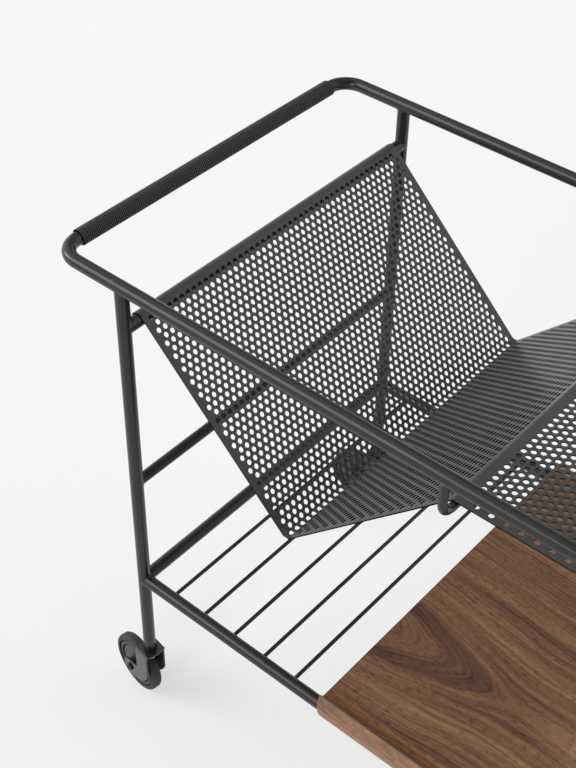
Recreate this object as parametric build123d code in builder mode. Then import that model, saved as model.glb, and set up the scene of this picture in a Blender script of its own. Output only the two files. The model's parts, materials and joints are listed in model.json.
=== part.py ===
"""Serving trolley: a black tube frame on swivel casters, with a folded sheet tray hung
on bars, a wire shelf bay and a walnut board threaded on the two lower rails.

Millimetres. The origin is on the floor under the middle of the trolley, +Z is up,
X runs along the trolley with the wrapped handle at -X, and -Y is the near side.
"""

import os
from math import acos, atan2, cos, degrees, hypot, radians, sin, tan

from build123d import *

os.makedirs("parts", exist_ok=True)


def save(part, label):
    """Name a finished piece and write it as its own file."""
    part.label = label
    export_step(part, f"parts/{label}.step")


# Driving dimensions of the frame
tube_d = 16.0
tube_wall = 1.5
weld_gap = 0.05
leg_span = 672.0
rail_width = 486.8
rail_z = 703.0
rail_overhang = 96.2
rail_bend = 29.0
vent_d = 5.0
tray_bar_drop = 56.3
mid_bar_drop = 289.7
mid_bar_d = 13.5
low_rail_drop = 461.5
wire_d = 5.0
wire_count = 5
wrap_thickness = 2.2
wrap_start = 0.5
wrap_gap = 0.05

# Driving dimensions of the folded tray and the rod under its shoulder
sheet = 1.5
tray_side_gap = 20.0
hem_gap = 0.05
hem_wrap = 180.0
trough_x = 212.7
trough_drop = 249.7
shoulder_x = 412.1
fold_radius = 4.5
opening_count = 12
opening_share = 0.667
opening_margin = 5.2
rod_d = 9.5
rod_bend = 18.0
rod_gap = 0.1

# Driving dimensions of the walnut board, heights and widths counted from the rail's axis
board_start = 289.5
board_end_gap = 1.5
board_under = 2.5
board_thickness = 15.7
lip_height = 7.2
lip_width = 1.0
lip_bevel = 4.4
lip_bevel_drop = 7.0
lip_bevel_round = 8.0
cove_radius = 6.0
rim_out = 11.0
rim_in = 12.5
rim_drop = 15.0
rim_curve_top = 8.0
rim_foot = 5.0
rim_round = 3.0
bore_gap = 0.2

# Driving dimensions of the casters
wheel_d = 85.5
tyre_width = 14.6
tyre_depth = 6.95
tyre_shoulder = 2.0
trail = 29.3
near_swivel_angle = -9.1
fork_rise = 15.8
fork_width = 30.4
fork_length = 25.2
fork_nose = 2.5
fork_sheet = 2.5
fork_bend = 1.2
cheek_setback = 2.0
fork_lobe_r = 13.5
fork_arm_slope_angle = 11.0
fork_arm_round = 5.0
leg_lift = 2.0
stem_d = 10.0
thread_d = 8.0
running_gap = 0.05
face_gap = 0.1
housing_d = 21.0
housing_h = 7.5
thrust_washer_d = 18.0
washer_gap = 0.4
stem_washer_d = 16.0
stem_washer_h = 1.2
stem_nut_h = 4.6
nut_flats = 13.0
thread_end = 0.6
plug_h = 26.0
stem_grip = 20.0
axle_head_d = 11.0
axle_head_h = 2.6
axle_socket_flats = 5.0
axle_socket_h = 1.6
axle_nut_h = 5.0
sleeve_d = 11.0
bearing_d = 20.0
bearing_side_gap = 0.5
bearing_taper = 1.5
core_width = 13.0
dish_recess = 1.0
ring_width = 3.5
groove_width = 2.5
groove_depth = 3.0

# Places worked out from the driving dimensions
tube_r = tube_d / 2
tube_bore_r = tube_r - tube_wall
leg_x = leg_span / 2
leg_y = rail_width / 2
fork_top = wheel_d + fork_rise
leg_bottom = fork_top + leg_lift
tray_bar_z = rail_z - tray_bar_drop
mid_bar_z = rail_z - mid_bar_drop
low_z = rail_z - low_rail_drop
corners = {
    "near_left": (-leg_x, -leg_y),
    "far_left": (-leg_x, leg_y),
    "near_right": (leg_x, -leg_y),
    "far_right": (leg_x, leg_y),
}
ends = {"left": -leg_x, "right": leg_x}
sides = {"near": -leg_y, "far": leg_y}

# Top rail: one tube bent into a rounded rectangle, made as a half and its mirror image,
# with a vent hole into each leg
rail_end_x = leg_x + rail_overhang
with BuildPart() as top_rail:
    with BuildLine(Plane.XY.offset(rail_z)) as half_path:
        FilletPolyline(
            (0, -leg_y),
            (-rail_end_x, -leg_y),
            (-rail_end_x, leg_y),
            (0, leg_y),
            radius=rail_bend,
        )
    with BuildSketch(Plane((0, -leg_y, rail_z), x_dir=(0, 1, 0), z_dir=(-1, 0, 0))):
        Circle(tube_r)
        Circle(tube_bore_r, mode=Mode.SUBTRACT)
    sweep(path=half_path.line)
    mirror(about=Plane.YZ)
    with Locations(*[(x, y, rail_z - tube_r) for x, y in corners.values()]):
        Cylinder(vent_d / 2, tube_r, mode=Mode.SUBTRACT)
save(top_rail.part, "top_rail")

# Handle wrap: a sleeve of wound cord round the left end of the rail
wrap_length = rail_width - 2 * (rail_bend + wrap_start)
with BuildPart() as handle_wrap:
    with BuildSketch(Plane((-rail_end_x, 0, rail_z), x_dir=(1, 0, 0), z_dir=(0, 1, 0))):
        Circle(tube_r + wrap_thickness)
        Circle(tube_r + wrap_gap, mode=Mode.SUBTRACT)
    extrude(amount=wrap_length / 2, both=True)
save(handle_wrap.part, "handle_wrap")

# Legs: straight tubes, each with its top end coped to sit under the rail
cope_length = 3 * tube_d
for corner, (x, y) in corners.items():
    with BuildPart() as leg:
        with BuildSketch(Plane((x, y, leg_bottom))):
            Circle(tube_r)
            Circle(tube_bore_r, mode=Mode.SUBTRACT)
        extrude(amount=rail_z - leg_bottom)
        with Locations((x, y, rail_z)):
            Cylinder(tube_r + weld_gap, cope_length, rotation=(0, 90, 0), mode=Mode.SUBTRACT)
    save(leg.part, f"{corner}_leg")


def cross_bar(x, z, bar_d, meets_rails=False):
    """A tube across the trolley, coped at both ends to the legs and, low down, to the rails."""
    with BuildPart() as bar:
        with BuildSketch(Plane((x, 0, z), x_dir=(1, 0, 0), z_dir=(0, 1, 0))):
            Circle(bar_d / 2)
            Circle(bar_d / 2 - tube_wall, mode=Mode.SUBTRACT)
        extrude(amount=leg_y, both=True)
        with Locations((x, -leg_y, z), (x, leg_y, z)):
            Cylinder(tube_r + weld_gap, cope_length, mode=Mode.SUBTRACT)
            if meets_rails:
                Cylinder(tube_r + weld_gap, cope_length, rotation=(0, 90, 0), mode=Mode.SUBTRACT)
    return bar.part


# Cross bars: the tray hangs on the top pair, the thin mid pair guards the shelf below,
# and the low pair ends that shelf
for end, x in ends.items():
    save(cross_bar(x, tray_bar_z, tube_d), f"{end}_tray_bar")
    save(cross_bar(x, mid_bar_z, mid_bar_d), f"{end}_mid_bar")
    save(cross_bar(x, low_z, tube_d, meets_rails=True), f"{end}_low_bar")

# Low rails: one along each side between the legs, coped at both ends
for side, y in sides.items():
    with BuildPart() as low_rail:
        with BuildSketch(Plane((0, y, low_z), x_dir=(0, 1, 0), z_dir=(1, 0, 0))):
            Circle(tube_r)
            Circle(tube_bore_r, mode=Mode.SUBTRACT)
        extrude(amount=leg_x, both=True)
        with Locations((-leg_x, y, low_z), (leg_x, y, low_z)):
            Cylinder(tube_r + weld_gap, cope_length, mode=Mode.SUBTRACT)
    save(low_rail.part, f"{side}_low_rail")

# Shelf wires: they divide the bay between the left low bar and the board into equal spaces
wire_pitch = board_start / (wire_count + 1)
with BuildPart() as shelf_wires:
    for number in range(1, wire_count + 1):
        wire_x = -leg_x + number * wire_pitch
        with BuildSketch(Plane((wire_x, 0, low_z), x_dir=(1, 0, 0), z_dir=(0, 1, 0))):
            Circle(wire_d / 2)
        extrude(amount=leg_y, both=True)
    with Locations((0, -leg_y, low_z), (0, leg_y, low_z)):
        Cylinder(tube_r + weld_gap, leg_span, rotation=(0, 90, 0), mode=Mode.SUBTRACT)
save(shelf_wires.part, "shelf_wires")

# Folded tray: one sheet that hooks over the left bar, falls into a trough, rises to a
# shoulder and runs flat to hook over the right bar. The path is the middle of the sheet.
# A plain grid of openings in each flat panel stands for the fine holes of the real sheet,
# with the same share of open area.
hem_r = tube_r + hem_gap + sheet / 2
tray_width = rail_width - 2 * tray_side_gap
flat_z = tray_bar_z + hem_r
left_bar = (-leg_x, tray_bar_z)
right_bar = (leg_x, tray_bar_z)
trough = (-leg_x + trough_x, rail_z - trough_drop)
shoulder = (-leg_x + shoulder_x, flat_z)
trough_reach = hypot(trough_x, tray_bar_z - trough[1])
trough_angle = degrees(atan2(trough[1] - tray_bar_z, trough_x))
hem_angle = trough_angle + degrees(acos(hem_r / trough_reach))
hem_end = (-leg_x + hem_r * cos(radians(hem_angle)), tray_bar_z + hem_r * sin(radians(hem_angle)))
opening_pitch = (tray_width - 2 * opening_margin) / opening_count
panels = [(hem_end, trough), (trough, shoulder), (shoulder, (leg_x, flat_z))]
with BuildPart() as folded_tray:
    with BuildSketch(Plane.XZ):
        with BuildLine():
            CenterArc(left_bar, hem_r, hem_angle + hem_wrap, -hem_wrap)
            FilletPolyline(hem_end, trough, shoulder, (leg_x, flat_z), radius=fold_radius)
            CenterArc(right_bar, hem_r, 90, -hem_wrap)
        trace(line_width=sheet)
    extrude(amount=tray_width / 2, both=True)
    for (start_x, start_z), (end_x, end_z) in panels:
        panel_length = hypot(end_x - start_x, end_z - start_z)
        row_count = int(panel_length / opening_pitch)
        row_pitch = panel_length / row_count
        panel_middle = ((start_x + end_x) / 2, 0, (start_z + end_z) / 2)
        panel_along = (end_x - start_x, 0, end_z - start_z)
        panel_normal = (start_z - end_z, 0, end_x - start_x)
        with BuildSketch(Plane(panel_middle, x_dir=panel_along, z_dir=panel_normal)):
            with GridLocations(row_pitch, opening_pitch, row_count, opening_count):
                Rectangle(row_pitch * opening_share, opening_pitch * opening_share)
        extrude(amount=sheet, both=True, mode=Mode.SUBTRACT)
save(folded_tray.part, "folded_tray")

# Support rod: bent down from one rail, across in the inner corner of the tray's shoulder
# and up to the other rail
shoulder_turn = atan2(flat_z - trough[1], shoulder_x - trough_x)
rod_reach = rod_d / 2 + rod_gap + sheet / 2
rod_x = shoulder[0] + rod_reach * tan(shoulder_turn / 2)
rod_z = flat_z - rod_reach
with BuildPart() as support_rod:
    with BuildLine(Plane((rod_x, 0, 0), x_dir=(0, 1, 0), z_dir=(1, 0, 0))) as rod_path:
        FilletPolyline(
            (-leg_y, rail_z),
            (-leg_y, rod_z),
            (leg_y, rod_z),
            (leg_y, rail_z),
            radius=rod_bend,
        )
    with BuildSketch(Plane((rod_x, -leg_y, rail_z), z_dir=(0, 0, -1))):
        Circle(rod_d / 2)
    sweep(path=rod_path.line)
    with Locations((rod_x, -leg_y, rail_z), (rod_x, leg_y, rail_z)):
        Cylinder(tube_r + weld_gap, cope_length, rotation=(0, 90, 0), mode=Mode.SUBTRACT)
save(support_rod.part, "support_rod")

# Walnut board: a shallow tray with coved and bevelled lips, whose thick rims are bored
# for the low rails
board_left = -leg_x + board_start
board_right = leg_x - tube_r - board_end_gap
board_top = low_z + board_under + board_thickness
lip_top = board_top + lip_height
lip_out = leg_y + rim_out - lip_bevel
lip_in = lip_out - lip_width
bevel_foot = lip_top - lip_bevel_drop
rim_bottom = low_z - rim_drop
with BuildPart() as walnut_board:
    with BuildSketch(Plane((board_left, 0, 0), x_dir=(0, 1, 0), z_dir=(1, 0, 0))) as section:
        with BuildLine():
            Polyline(
                (0, low_z + board_under),
                (leg_y - rim_in, low_z + board_under),
                (leg_y - rim_in, rim_bottom),
                (leg_y + rim_foot, rim_bottom),
            )
            TangentArc(
                (leg_y + rim_out, low_z + rim_curve_top),
                (leg_y + rim_foot, rim_bottom),
                tangent=(0, -1),
            )
            Polyline(
                (leg_y + rim_out, low_z + rim_curve_top),
                (leg_y + rim_out, bevel_foot),
                (lip_out, lip_top),
                (lip_in, lip_top),
                (lip_in, board_top),
                (0, board_top),
                (0, low_z + board_under),
            )
        make_face()
        rounds = [
            ((leg_y - rim_in, low_z + board_under), rim_round),
            ((leg_y - rim_in, rim_bottom), rim_round),
            ((leg_y + rim_foot, rim_bottom), rim_round),
            ((leg_y + rim_out, bevel_foot), lip_bevel_round),
            ((lip_in, board_top), cove_radius),
        ]
        for place, radius in rounds:
            fillet(section.vertices().sort_by_distance(place)[0], radius)
        mirror(about=Plane.YZ)
        with Locations((-leg_y, low_z), (leg_y, low_z)):
            Circle(tube_r + bore_gap, mode=Mode.SUBTRACT)
    extrude(amount=board_right - board_left)
save(walnut_board.part, "walnut_board")


# Leg ends: a plug in each leg takes the caster's stem, whose shoulder clamps a washer and
# a nut below the swivel housing
housing_top = fork_top - fork_sheet
housing_bottom = housing_top - housing_h
stem_shoulder = housing_bottom - face_gap
nut_top = stem_shoulder - stem_washer_h
nut_bottom = nut_top - stem_nut_h
stem_bottom = nut_bottom - thread_end
stem_top = leg_bottom + stem_grip
stem_bore_r = stem_d / 2 + running_gap
thread_bore_r = thread_d / 2 + running_gap

with BuildPart() as leg_plugs:
    with BuildSketch(Plane.XY.offset(leg_bottom)):
        with Locations(*corners.values()):
            Circle(tube_bore_r - running_gap)
            Circle(stem_bore_r, mode=Mode.SUBTRACT)
    extrude(amount=plug_h)
save(leg_plugs.part, "leg_plugs")

with BuildPart() as caster_stems:
    with BuildSketch(Plane.XY.offset(stem_shoulder)):
        with Locations(*corners.values()):
            Circle(stem_d / 2)
    extrude(amount=stem_top - stem_shoulder)
    with BuildSketch(Plane.XY.offset(stem_bottom)):
        with Locations(*corners.values()):
            Circle(thread_d / 2)
    extrude(amount=stem_shoulder - stem_bottom)
save(caster_stems.part, "caster_stems")

with BuildPart() as thrust_washers:
    with BuildSketch(Plane.XY.offset(housing_top + face_gap)):
        with Locations(*corners.values()):
            Circle(thrust_washer_d / 2)
            Circle(stem_bore_r, mode=Mode.SUBTRACT)
    extrude(amount=leg_bottom - housing_top - face_gap)
save(thrust_washers.part, "thrust_washers")

with BuildPart() as stem_washers:
    with BuildSketch(Plane.XY.offset(nut_top)):
        with Locations(*corners.values()):
            Circle(stem_washer_d / 2)
            Circle(thread_bore_r, mode=Mode.SUBTRACT)
    extrude(amount=stem_washer_h)
save(stem_washers.part, "stem_washers")

with BuildPart() as stem_nuts:
    with BuildSketch(Plane.XY.offset(nut_bottom)):
        with Locations(*corners.values()):
            RegularPolygon(nut_flats / 2, 6, major_radius=False)
            Circle(thread_bore_r, mode=Mode.SUBTRACT)
    extrude(amount=stem_nut_h)
save(stem_nuts.part, "stem_nuts")

# One caster, made with its stem on the Z axis and its wheel trailing towards -X
wheel_r = wheel_d / 2
axle = (-trail, wheel_r)
axle_line = Axis((-trail, 0, wheel_r), (0, 1, 0))
fork_half = fork_width / 2
fork_inside = fork_half - fork_sheet

# Fork: bent sheet, a flat top with a bowed front edge and two cheeks that sweep back to the axle
nose_half = fork_half - fork_bend
arm_slope = radians(fork_arm_slope_angle)
lobe_bottom = wheel_r - fork_lobe_r
sweep_r = fork_length / 2 + trail
arm_start = 90 + fork_arm_slope_angle
arm_run = trail - fork_length / 2 + fork_lobe_r * sin(arm_slope)
lobe_top = wheel_r + fork_lobe_r * cos(arm_slope)
arm_top = lobe_top + arm_run * tan(arm_slope)
with BuildPart() as fork:
    with BuildSketch(Plane.XZ) as cheek:
        with BuildLine():
            Polyline(
                (-trail - fork_lobe_r * sin(arm_slope), lobe_top),
                (-fork_length / 2, arm_top),
                (-fork_length / 2, fork_top),
                (fork_length / 2, fork_top),
                (fork_length / 2, lobe_bottom + sweep_r),
            )
            CenterArc((-trail, lobe_bottom + sweep_r), sweep_r, 270, 90)
            CenterArc(axle, fork_lobe_r, arm_start, 270 - arm_start)
        make_face()
        fillet(cheek.vertices().sort_by_distance((-fork_length / 2, arm_top))[0], fork_arm_round)
    extrude(amount=fork_half, both=True)
    top_edges = fork.edges().filter_by(Axis.X).group_by(Axis.Z)[-1]
    fillet(top_edges, fork_bend)
    with BuildSketch(Plane.XY.offset(housing_top)):
        Rectangle(4 * sweep_r, 2 * fork_inside)
        with Locations((fork_length / 2, 0)):
            Rectangle(2 * cheek_setback, fork_width)
    extrude(amount=-fork_top, mode=Mode.SUBTRACT)
    with BuildSketch(Plane.XY.offset(fork_top)):
        with BuildLine():
            Line((fork_length / 2, nose_half), (fork_length / 2, -nose_half))
            ThreePointArc(
                (fork_length / 2, -nose_half),
                (fork_length / 2 + fork_nose, 0),
                (fork_length / 2, nose_half),
            )
        make_face()
    extrude(amount=-fork_sheet)
    with BuildSketch(Plane.XY.offset(fork_top)):
        Circle(thrust_washer_d / 2 + washer_gap)
    extrude(amount=-fork_sheet, mode=Mode.SUBTRACT)
    with BuildSketch(Plane.XZ):
        with Locations(axle):
            Circle(thread_bore_r)
    extrude(amount=fork_half, both=True, mode=Mode.SUBTRACT)

# Swivel housing: a turned ring under the fork's top that runs on the stem
with BuildPart() as swivel_housing:
    with BuildSketch(Plane.XY.offset(housing_bottom)):
        Circle(housing_d / 2)
        Circle(stem_bore_r, mode=Mode.SUBTRACT)
    extrude(amount=housing_h)

# Axle bolt: a low round head with a hexagon socket, on the -Y cheek
nut_end = fork_half + axle_nut_h + thread_end
with BuildPart() as axle_bolt:
    with BuildSketch(Plane((-trail, -fork_half, wheel_r), x_dir=(1, 0, 0), z_dir=(0, -1, 0))):
        Circle(axle_head_d / 2)
    extrude(amount=axle_head_h)
    with BuildSketch(Plane((-trail, -fork_half, wheel_r), x_dir=(1, 0, 0), z_dir=(0, 1, 0))):
        Circle(thread_d / 2)
    extrude(amount=fork_half + nut_end)
    with BuildSketch(Plane((-trail, -fork_half - axle_head_h, wheel_r), x_dir=(1, 0, 0), z_dir=(0, 1, 0))):
        RegularPolygon(axle_socket_flats / 2, 6, major_radius=False)
    extrude(amount=axle_socket_h, mode=Mode.SUBTRACT)

with BuildPart() as axle_nut:
    with BuildSketch(Plane((-trail, fork_half, wheel_r), x_dir=(1, 0, 0), z_dir=(0, 1, 0))):
        RegularPolygon(nut_flats / 2, 6, major_radius=False)
        Circle(thread_bore_r, mode=Mode.SUBTRACT)
    extrude(amount=axle_nut_h)

# Axle sleeve: keeps the cheeks apart, and the wheel runs on it
with BuildPart() as axle_sleeve:
    with BuildSketch(Plane((-trail, 0, wheel_r), x_dir=(1, 0, 0), z_dir=(0, 1, 0))):
        Circle(sleeve_d / 2)
        Circle(thread_bore_r, mode=Mode.SUBTRACT)
    extrude(amount=fork_inside, both=True)

# Wheel bearing: a plain bush in the wheel's middle that runs on the sleeve
wheel_section = Plane((-trail, 0, wheel_r), x_dir=(0, 1, 0), z_dir=(1, 0, 0))
bearing_r = bearing_d / 2
bearing_half = fork_inside - bearing_side_gap
bearing_bore_r = sleeve_d / 2 + running_gap
with BuildPart() as wheel_bearing:
    with BuildSketch(wheel_section):
        with BuildLine():
            Polyline(
                (0, bearing_bore_r),
                (bearing_half, bearing_bore_r),
                (bearing_half, bearing_r - bearing_taper),
                (bearing_half - bearing_taper, bearing_r),
                (0, bearing_r),
                (0, bearing_bore_r),
            )
        make_face()
        mirror(about=Plane.YZ)
    revolve(axis=axle_line)

# Wheel core: a shallow dish inside a raised ring, with a groove on each side of the ring
core_bore_r = bearing_r + running_gap
core_half = core_width / 2
dish_half = core_half - dish_recess
groove_half = core_half - groove_depth
tyre_seat_r = wheel_r - tyre_depth
ring_outer_r = tyre_seat_r - groove_width
ring_inner_r = ring_outer_r - ring_width
dish_r = ring_inner_r - groove_width
with BuildPart() as wheel_core:
    with BuildSketch(wheel_section):
        with BuildLine():
            Polyline(
                (0, core_bore_r),
                (dish_half, core_bore_r),
                (dish_half, dish_r),
                (groove_half, dish_r),
                (groove_half, ring_inner_r),
                (core_half, ring_inner_r),
                (core_half, ring_outer_r),
                (groove_half, ring_outer_r),
                (groove_half, tyre_seat_r),
                (0, tyre_seat_r),
                (0, core_bore_r),
            )
        make_face()
        mirror(about=Plane.YZ)
    revolve(axis=axle_line)

# Tyre: a solid ring with rounded shoulders
with BuildPart() as tyre:
    with BuildSketch(wheel_section) as tread:
        with Locations((0, (tyre_seat_r + wheel_r) / 2)):
            Rectangle(tyre_width, wheel_r - tyre_seat_r)
        fillet(tread.vertices().group_by(Axis.Y)[-1], tyre_shoulder)
    revolve(axis=axle_line)

# The four casters: copies of the one above, each turned a little about its stem. The far
# ones are mirror images, so that all the bolt heads face outwards.
caster_pieces = {
    "fork": fork,
    "swivel_housing": swivel_housing,
    "axle_bolt": axle_bolt,
    "axle_nut": axle_nut,
    "axle_sleeve": axle_sleeve,
    "wheel_bearing": wheel_bearing,
    "wheel_core": wheel_core,
    "tyre": tyre,
}
for corner, (x, y) in corners.items():
    swivel = near_swivel_angle if y < 0 else -near_swivel_angle
    stand = Location((x, y, 0), (0, 0, swivel))
    for piece, made in caster_pieces.items():
        handed = made.part if y < 0 else made.part.mirror(Plane.XZ)
        save(handed.moved(stand), f"{corner}_{piece}")
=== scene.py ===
# %% [markdown]
# # A serving trolley, dressed for its picture
# The solids of the trolley come ready made, in metres and in place. This lesson gives them the
# finishes that the real pieces have. It also makes anew the few pieces whose looks need more than a
# plain solid: the punched sheet, the wound handle, the eased board, forks and bolts, the turned wheels
# and the welds. A plain studio with five lamps and a camera closes it.

# %% Load the frame
import json
from math import acos, atan2, cos, inf, pi, radians, sin, tan

import bmesh
import bpy
import numpy as np
from mathutils import Matrix, Vector

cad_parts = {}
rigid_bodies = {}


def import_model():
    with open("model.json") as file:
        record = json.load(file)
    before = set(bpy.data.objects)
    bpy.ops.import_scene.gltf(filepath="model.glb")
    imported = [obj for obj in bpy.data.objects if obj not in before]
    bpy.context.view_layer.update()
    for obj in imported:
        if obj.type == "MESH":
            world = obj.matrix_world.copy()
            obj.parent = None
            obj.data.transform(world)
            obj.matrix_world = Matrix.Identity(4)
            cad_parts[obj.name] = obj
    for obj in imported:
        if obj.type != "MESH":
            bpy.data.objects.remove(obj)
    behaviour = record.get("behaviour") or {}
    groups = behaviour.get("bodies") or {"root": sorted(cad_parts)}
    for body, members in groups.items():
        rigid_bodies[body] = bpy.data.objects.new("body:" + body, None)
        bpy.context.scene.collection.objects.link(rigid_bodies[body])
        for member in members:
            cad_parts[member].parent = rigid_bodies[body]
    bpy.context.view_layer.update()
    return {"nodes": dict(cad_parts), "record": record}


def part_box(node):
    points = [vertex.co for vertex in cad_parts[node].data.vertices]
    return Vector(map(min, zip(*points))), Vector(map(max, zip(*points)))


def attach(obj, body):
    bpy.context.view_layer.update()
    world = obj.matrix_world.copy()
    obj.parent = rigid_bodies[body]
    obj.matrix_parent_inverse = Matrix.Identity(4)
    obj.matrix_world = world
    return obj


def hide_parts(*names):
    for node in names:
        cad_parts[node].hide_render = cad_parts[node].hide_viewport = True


for leftover in list(bpy.data.objects):
    bpy.data.objects.remove(leftover)
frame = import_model()
MM = 0.001

# %% [markdown]
# ## Tools for finishes
# Colours are written as sRGB hex values, the way a paint chart gives them, and one function turns
# them into the linear values that shaders use. A second function adds a node, sets it and links it,
# so that a finish reads as a short list of what it is made of.

# %% Colour, node and finish helpers
def linear(hex_colour):
    channels = [int(hex_colour[at:at + 2], 16) / 255 for at in (1, 3, 5)]
    return [c / 12.92 if c <= 0.04045 else ((c + 0.055) / 1.055) ** 2.4 for c in channels] + [1.0]


def node(tree, kind, sockets, stops=(), **settings):
    made = tree.nodes.new("ShaderNode" + kind)
    for name, value in settings.items():
        setattr(made, name, value)
    for socket, value in sockets.items():
        if isinstance(value, bpy.types.NodeSocket):
            tree.links.new(value, made.inputs[socket])
        else:
            made.inputs[socket].default_value = value
    for number, (position, hex_colour) in enumerate(stops):
        ramp = made.color_ramp.elements
        stop = ramp[number] if number < 2 else ramp.new(position)
        stop.position = position
        stop.color = linear(hex_colour)
    return made


def new_finish(name):
    finish = bpy.data.materials.new(name)
    finish.use_nodes = True
    tree = finish.node_tree
    return finish, tree, tree.nodes["Principled BSDF"], node(tree, "TexCoord", {}).outputs["Object"]


print("middle grey in linear light:", round(linear("#808080")[0], 3))

# %% [markdown]
# ## Powder coat
# The frame and the sheet are steel sprayed with black powder and baked, which leaves a satin skin
# with a faint orange peel. The peel is drawn at two millimetres, because anything finer would be lost
# in the picture. Broad, slow changes in roughness keep the long tubes from looking like plastic. One
# function makes three coats, because the photograph shows three: black on the tubes, paler and duller
# on the sheet, and nearly black on the walls of the holes. The same powder covers all three, so the
# sheet's paler grey is painted light and the near black in the holes is painted shade.

# %% Powder coated steel
PEEL = 2.0 * MM
PEEL_DEPTH = 0.1 * MM
BLOOM = 60 * MM


def powder_coated(name, dark, light, smooth, rough, peel_strength, shine, sheen=0.0):
    """A baked coat of two near colours, whose roughness drifts between smooth and rough."""
    finish, tree, shader, place = new_finish(name)
    peel = node(tree, "TexNoise", {"Vector": place, "Scale": 1 / PEEL, "Detail": 3.0}).outputs["Fac"]
    bloom = node(tree, "TexNoise", {"Vector": place, "Scale": 1 / BLOOM, "Detail": 4.0}).outputs["Fac"]
    colour = node(tree, "ValToRGB", {"Fac": peel}, stops=[(0.30, dark), (0.70, light)])
    swing = {"Value": bloom, "From Min": 0.3, "From Max": 0.7, "To Min": smooth, "To Max": rough}
    gloss = node(tree, "MapRange", swing)
    relief = node(tree, "Bump", {"Height": peel, "Strength": peel_strength, "Distance": PEEL_DEPTH})
    tree.links.new(colour.outputs["Color"], shader.inputs["Base Color"])
    tree.links.new(gloss.outputs["Result"], shader.inputs["Roughness"])
    tree.links.new(relief.outputs["Normal"], shader.inputs["Normal"])
    shader.inputs["Specular IOR Level"].default_value = shine
    shader.inputs["Sheen Weight"].default_value = sheen
    return finish


# On the tubes the coat is black with long, clear highlights
powder_coat = powder_coated("powder_coated_steel", "#1C1C1D", "#262627", 0.21, 0.28, 0.10, 0.4)
# On the sheet it is painted a paler grey as light, with a faint sheen
lit_sheet_coat = powder_coated("powder_coat_painted_paler", "#363637", "#3C3C3D", 0.33, 0.40, 0.02, 0.4, sheen=0.13)
# On the walls of the holes it is painted nearly black as shade, and hardly shines
hole_shade_coat = powder_coated("painted_shade_in_holes", "#040404", "#060606", 0.21, 0.28, 0.10, 0.03)
print("finishes:", powder_coat.name, lit_sheet_coat.name, hole_shade_coat.name)

# %% [markdown]
# ## Walnut
# The board is flat-sawn walnut, sanded and oiled. In a log the year rings are long cones round the
# pith, and a saw that cuts across them at a slant leaves an arch on the face and straight lines at
# the sides. A pattern drawn on the face alone wouldn't meet the pattern of the edges. So the finish
# works as the log does: it measures each point's distance from a pith line under the board and
# colours it by that distance, and the face, the rims and the end grain all agree. A little past the
# tip of the arch the pith runs level with the face, and the grain there is straight.

# %% Distance from the pith
PITH_Y = -112 * MM
PITH_DEPTH = 80 * MM
PITH_SLOPE = 0.12
APEX_X = 38.7 * MM
ARCH_RING = 82.8 * MM
LEVEL_DEPTH, LEVEL_EASE = ARCH_RING + 6 * MM, 4 * MM
FACE_Z = 259.7 * MM
DRIFT = 11 * MM
DRIFT_LONG, DRIFT_WIDE = 160 * MM, 50 * MM
# Oiled walnut gives a warm brown with arches, fine dark lines and a soft shine
walnut, tree, shader, place = new_finish("oiled_walnut")
spread = node(tree, "Mapping", {"Vector": place, "Scale": (1 / DRIFT_LONG, 1 / DRIFT_WIDE, 1 / DRIFT_WIDE)})
wander = node(
    tree, "TexNoise", {"Vector": spread.outputs["Vector"], "Scale": 1.0, "Detail": 3.0, "Roughness": 0.55}
)
drift = node(tree, "MapRange", {"Value": wander.outputs["Fac"], "To Min": -DRIFT, "To Max": DRIFT})
axes = node(tree, "SeparateXYZ", {"Vector": place})
across = node(tree, "Math", {0: axes.outputs["Y"], 1: PITH_Y}, operation="SUBTRACT")
across = node(tree, "Math", {0: across.outputs[0], 1: drift.outputs["Result"]}, operation="ADD")
middle_depth = PITH_DEPTH - PITH_SLOPE * APEX_X
slant = node(tree, "Math", {0: axes.outputs["X"], 1: PITH_SLOPE, 2: middle_depth}, operation="MULTIPLY_ADD")
slant = node(tree, "Math", {0: slant.outputs[0], 1: LEVEL_DEPTH, 2: LEVEL_EASE}, operation="SMOOTH_MIN")
height = node(tree, "Math", {0: axes.outputs["Z"], 1: FACE_Z}, operation="SUBTRACT").outputs[0]
depth = node(tree, "Math", {0: slant.outputs[0], 1: height}, operation="ADD")
offset = node(tree, "CombineXYZ", {"Y": across.outputs[0], "Z": depth.outputs[0]})
from_pith = node(tree, "VectorMath", {0: offset.outputs[0]}, operation="LENGTH").outputs["Value"]
print("the arch is the ring", round(ARCH_RING / MM, 1), "mm from the pith")

# %% [markdown]
# Growth varies from year to year, so the figure is noise that changes fast from ring to ring and
# slowly down the grain. Broad bands, streaks and fine dark lines are three such noises. Walnut's pores
# are short dark scratches along the grain, drawn wider than they are so that they show.

# %% Rings, streaks and pores
PORE_LONG, PORE_WIDE = 9 * MM, 0.7 * MM


def grain(across_mm, along_mm, detail):
    """Noise that changes every across_mm from ring to ring and every along_mm down the grain."""
    rings = node(tree, "Math", {0: from_pith, 1: 1 / (across_mm * MM)}, operation="MULTIPLY")
    down = node(tree, "Math", {0: axes.outputs["X"], 1: 1 / (along_mm * MM)}, operation="MULTIPLY")
    where = node(tree, "CombineXYZ", {"X": rings.outputs[0], "Y": down.outputs[0]}).outputs[0]
    noise = {"Vector": where, "Scale": 1.0, "Detail": detail, "Roughness": 0.6}
    return node(tree, "TexNoise", noise).outputs["Fac"]


bands = grain(13, 420, 4.0)
streaks = grain(2.2, 190, 3.0)
lines = grain(1.7, 260, 2.0)
pore_scale = (1 / PORE_LONG, 1 / PORE_WIDE, 1 / PORE_WIDE)
fibre = node(tree, "Mapping", {"Vector": place, "Scale": pore_scale}).outputs["Vector"]
pores = node(tree, "TexNoise", {"Vector": fibre, "Scale": 1.0, "Detail": 2.0}).outputs["Fac"]
print("pores drawn", round(PORE_WIDE / MM, 1), "mm wide")

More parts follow.
